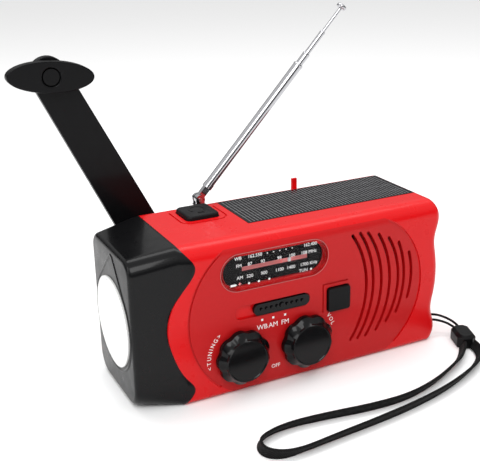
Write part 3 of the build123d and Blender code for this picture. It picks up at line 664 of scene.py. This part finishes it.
def make_needle():
    """A white pointer on a carriage of the same colour as the strip behind it."""
    low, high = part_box("dial_needle")
    middle = (low + high) / 2
    front = low.y
    blade = boxes("needle_blade", [((middle.x - 0.0005, front + 0.00005, middle.z - 0.00075),
                                    (middle.x + 0.0005, front + 0.0009, middle.z + 0.00075)),
                                   ((middle.x - 0.0003, front + 0.0009, middle.z - 0.0006),
                                    (middle.x + 0.0003, front + 0.0012, middle.z + 0.0006))])
    made = piece("needle_blade", blade, "print", "needle")
    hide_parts("dial_needle")
    carriage = boxes("needle_carriage", [((low.x, front + 0.0012, low.z), (high.x, high.y, high.z)),
                                         ((low.x + 0.0004, high.y, low.z + 0.0004),
                                          (high.x - 0.0004, high.y + 0.0002, high.z - 0.0004))])
    # the carriage uses the salmon print with its painted glow
    piece("needle_carriage", carriage, "salmon_painted_glow", "needle")
    plate_low, plate_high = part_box("dial_plate")
    back = high.y + 0.0003
    strip = boxes("needle_strip", [((plate_low.x + 0.005, back, middle.z - 0.0034),
                                    (plate_high.x - 0.003, back + 0.0003, middle.z + 0.0014)),
                                   ((plate_low.x + 0.006, back + 0.0003, middle.z - 0.0030),
                                    (plate_high.x - 0.004, back + 0.0006, middle.z + 0.0010))])
    # the strip behind the needle uses the salmon print with its painted glow
    piece("needle_strip", strip, "salmon_painted_glow", "radio")


def make_grille_backing():
    """A dark red gauze disc just behind the speaker's slots."""
    middle = centre("speaker_frame")
    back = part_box("speaker_frame")[0].y - PRINT_LIFT
    rings = [(0, 0.0235), (0.00004, 0.0240), (0.00010, 0.0240), (0.00014, 0.0236)]
    mesh = lathe("grille_backing", rings, (middle.x, back, middle.z), (0, -1, 0), 72)
    piece("grille_backing", mesh, "gauze", "radio", 40)


TUNING_LETTERS = [
    ("<", -101), ("T", -92), ("U", -83), ("N", -74), ("I", -67), ("N", -60), ("G", -51), (">", -42),
]
VOLUME_LETTERS = [("V", 54), ("O", 63), ("L", 72)]


def make_control_labels():
    """The words and marks round the knobs and under the slider."""
    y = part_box("front_shell")[0].y - PRINT_LIFT
    knob_low, knob_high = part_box("tuning_knob")
    knob = (knob_low + knob_high) / 2
    volume = centre("volume_knob")
    reach = (knob_high.x - knob_low.x) / 2 + 0.0022
    slider = centre("band_slider")
    for i, (x, text) in enumerate(((-8.0, "WB"), (-3.5, "AM"), (1.4, "FM"))):
        place = slider.x + x * MM
        label(f"band_{i}", text, place, slider.z - 0.0073, 0.0027, y)
        mark = boxes(f"band_mark_{i}", [((place - 0.0004, y - PRINT_THICK, slider.z - 0.0048),
                                         (place + 0.0004, y, slider.z - 0.0040))])
        piece(f"band_mark_{i}", mark, "print", "radio")
    arc_label("tuning_word", TUNING_LETTERS, knob.x, knob.z, reach, 0.0022, y)
    arc_label("volume_word", VOLUME_LETTERS, volume.x, volume.z, reach, 0.0022, y)
    label("off_word", "OFF", (knob.x + volume.x) / 2 + 0.0009, knob.z - 0.0079, 0.0021, y)


# ---------- top details ----------

def make_solar_lines():
    """Fine collector lines across the cells and three thin bars along them."""
    low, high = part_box("solar_panel")
    top = high.z
    edge = 0.0008
    spacing = 0.00145
    count = int((high.x - low.x - 2 * edge) / spacing)
    lines = []
    under, over = top - PRINT_LIFT, top + PRINT_LIFT
    for i in range(count):
        x = low.x + edge + spacing * (i + 0.5)
        lines.append(((x - 0.0001, low.y + edge, under), (x + 0.0001, high.y - edge, over)))
    for share in (0.25, 0.5, 0.75):
        y = low.y + (high.y - low.y) * share
        lines.append(((low.x + edge, y - 0.00005, under), (high.x - edge, y + 0.00005, over)))
    piece("solar_lines", boxes("solar_lines", lines), "grid", "radio")


def make_light_icon():
    """A plain bulb outline raised on the flashlight button."""
    low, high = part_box("flashlight_button")
    middle = (low + high) / 2
    top = high.z
    bm = bmesh.new()
    count = 40
    inner, outer = 0.0026, 0.0032
    height = 3 * PRINT_THICK
    ring_y = middle.y + 0.0004
    for i in range(count):
        if 24 <= i <= 34:
            continue
        a = 2 * pi * i / count
        b = 2 * pi * (i + 1) / count
        quad = []
        for angle, radius in ((a, inner), (b, inner), (b, outer), (a, outer)):
            quad.append(bm.verts.new((middle.x + radius * cos(angle), ring_y + radius * sin(angle), top)))
        bm.faces.new(quad)
    bmesh.ops.remove_doubles(bm, verts=bm.verts, dist=0.00001)
    raise_faces(bm, (0, 0, height))
    piece("light_icon", from_bmesh("light_icon", bm), "black", "light_button")
    bars = []
    for i in range(2):
        y = middle.y - 0.0042 + 0.0008 * i
        bars.append(((middle.x - 0.0012, y, top - PRINT_LIFT), (middle.x + 0.0012, y + 0.0004, top + height)))
    piece("light_icon_base", boxes("light_icon_base", bars), "black", "light_button")


# ---------- flashlight ----------

def make_lamp():
    """The lit dome and its collimator behind the lens; the collimator glows with painted light from the dome.
    """
    low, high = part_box("flashlight_lens")
    middle = (low + high) / 2
    radius = (high.z - low.z) / 2
    rings = [(0.0, 0.0030), (0.0016, 0.0029), (0.0026, 0.0020), (0.0030, 0.0008)]
    led = lathe("led_dome", rings, (high.x + 0.0060, middle.y, middle.z), (-1, 0, 0), 40)
    piece("led_dome", led, "led", "radio", 60)
    rings = [(0.0, radius * 0.62), (0.0006, radius * 0.66), (0.0010, radius * 0.60), (0.0013, radius * 0.40)]
    core = lathe("led_collimator", rings, (high.x + 0.0024, middle.y, middle.z), (-1, 0, 0), 56)
    piece("led_collimator", core, "shine", "radio", 50)


def make_lamp_ridge():
    """A teardrop ridge round the lens on the end face, with its point at the top."""
    low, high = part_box("flashlight_lens")
    middle = (low + high) / 2
    radius = (high.z - low.z) / 2
    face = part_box("flashlight_cap")[0].x
    reach = radius + 0.0029
    apex = Vector((0, -0.0020, middle.z + 0.0262))
    slope = radians(43)
    outline = [apex + Vector((0, 0.0014, -0.0004)), apex, apex - Vector((0, 0.0014, 0.0004))]
    steps = 60
    for i in range(steps + 1):
        angle = radians(90) + slope + (2 * pi - 2 * slope) * i / steps
        outline.append(Vector((0, middle.y + reach * cos(angle), middle.z + reach * sin(angle))))
    bm = bmesh.new()
    profile = ((-0.0007, -0.0001), (-0.0002, 0.0003), (0.0002, 0.0003), (0.0007, -0.0001))
    loops = []
    count = len(outline)
    for i, point in enumerate(outline):
        ahead = (outline[(i + 1) % count] - outline[i - 1]).normalized()
        side = Vector((0, -ahead.z, ahead.y))
        loops.append([bm.verts.new((face - out, point.y + side.y * across, point.z + side.z * across))
                      for across, out in profile])
    for i in range(count):
        bridge(bm, loops[i], loops[(i + 1) % count])
    piece("lamp_ridge", from_bmesh("lamp_ridge", bm), "cap", "radio", 50)


# ---------- antenna ----------

# how far an inner tube's lip stands proud of its tube, and its room inside the next lip
LIP_OVER = 0.00006
LIP_GAP = 0.00001


def collar(name, profile, origin, along):
    """A closed ring turned about an axis, open in the middle."""
    side = along.orthogonal().normalized()
    other = along.cross(side)
    bm = bmesh.new()
    steps = 40
    loops = []
    for i in range(steps):
        angle = 2 * pi * i / steps
        out = side * cos(angle) + other * sin(angle)
        loops.append([bm.verts.new(origin + along * offset + out * radius) for offset, radius in profile])
    for i in range(steps):
        bridge(bm, loops[i], loops[(i + 1) % steps])
    return from_bmesh(name, bm)


def make_antenna_lips():
    """A rolled lip at each tube's mouth, slim enough to slide into the tube round it, and a tip button."""
    pivot = centre("antenna_pin")
    tip_middle = centre("antenna_tip")
    along = (tip_middle - pivot).normalized()
    tubes = (("antenna_main_tube", "antenna_main"), ("antenna_section_2", "antenna_2"),
             ("antenna_section_3", "antenna_3"), ("antenna_section_4", "antenna_4"))
    for (node, body), (inner_node, _) in zip(tubes, tubes[1:]):
        low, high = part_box(node)
        radius = (high.y - low.y) / 2
        inner_low, inner_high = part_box(inner_node)
        inner = (inner_high.y - inner_low.y) / 2 + LIP_OVER + LIP_GAP
        outer = radius * 1.07 if body == "antenna_main" else radius + LIP_OVER
        end = high - Vector((radius * along.z, high.y - pivot.y, radius * along.x))
        profile = [(-0.0009, outer * 0.97), (-0.0007, outer), (-0.0002, outer),
                   (-0.00002, inner + 0.7 * (outer - inner)), (-0.00002, inner), (-0.0009, inner)]
        piece(node + "_lip", collar(node + "_lip", profile, end, along), "chrome", body, 50)
    low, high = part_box("antenna_tip")
    radius = (high.y - low.y) / 2
    rings = [(-0.00087, radius * 0.45), (-0.0007, radius * 0.85), (-0.0004, radius), (0.0004, radius),
             (0.0007, radius * 0.85), (0.00087, radius * 0.4)]
    mesh = lathe("antenna_tip_button", rings, tip_middle, along, 40)
    tip = piece("antenna_tip_button", mesh, "chrome", "antenna_4", 60)
    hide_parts("antenna_tip")


# ---------- the scene ----------

make_camera()
make_cord()
make_tape()
make_studio()
finish_nodes()
SOFTENED = [
    ("flashlight_cap", "cap", "radio", "black_plastic", 0.0005),
    ("crank_arm", "black", "crank", "black_plastic", 0.0004),
    ("crank_grip", "black", "grip", "black_plastic", 0.0006),
    ("hub_cap", "black", "crank", "black_plastic", 0.0004),
    ("square_button", "black", "square", "black_plastic", 0.0003),
    ("flashlight_button", "rubber", "light_button", "black_rubber", 0.0003),
    ("strap_bead", "black", "radio", "black_plastic", 0.0004),
    ("port_cover", "rubber", "cover", "black_rubber", 0.0003),
]
for node, finish, body, slot, width in SOFTENED:
    softened(node, finish, body, width)
make_knob("tuning_knob", "tuning")
make_knob("volume_knob", "volume")
make_dial_print()
make_dial_rim()
make_needle()
make_grille_backing()
make_control_labels()
make_solar_lines()
make_light_icon()
make_lamp()
make_lamp_ridge()
make_antenna_lips()
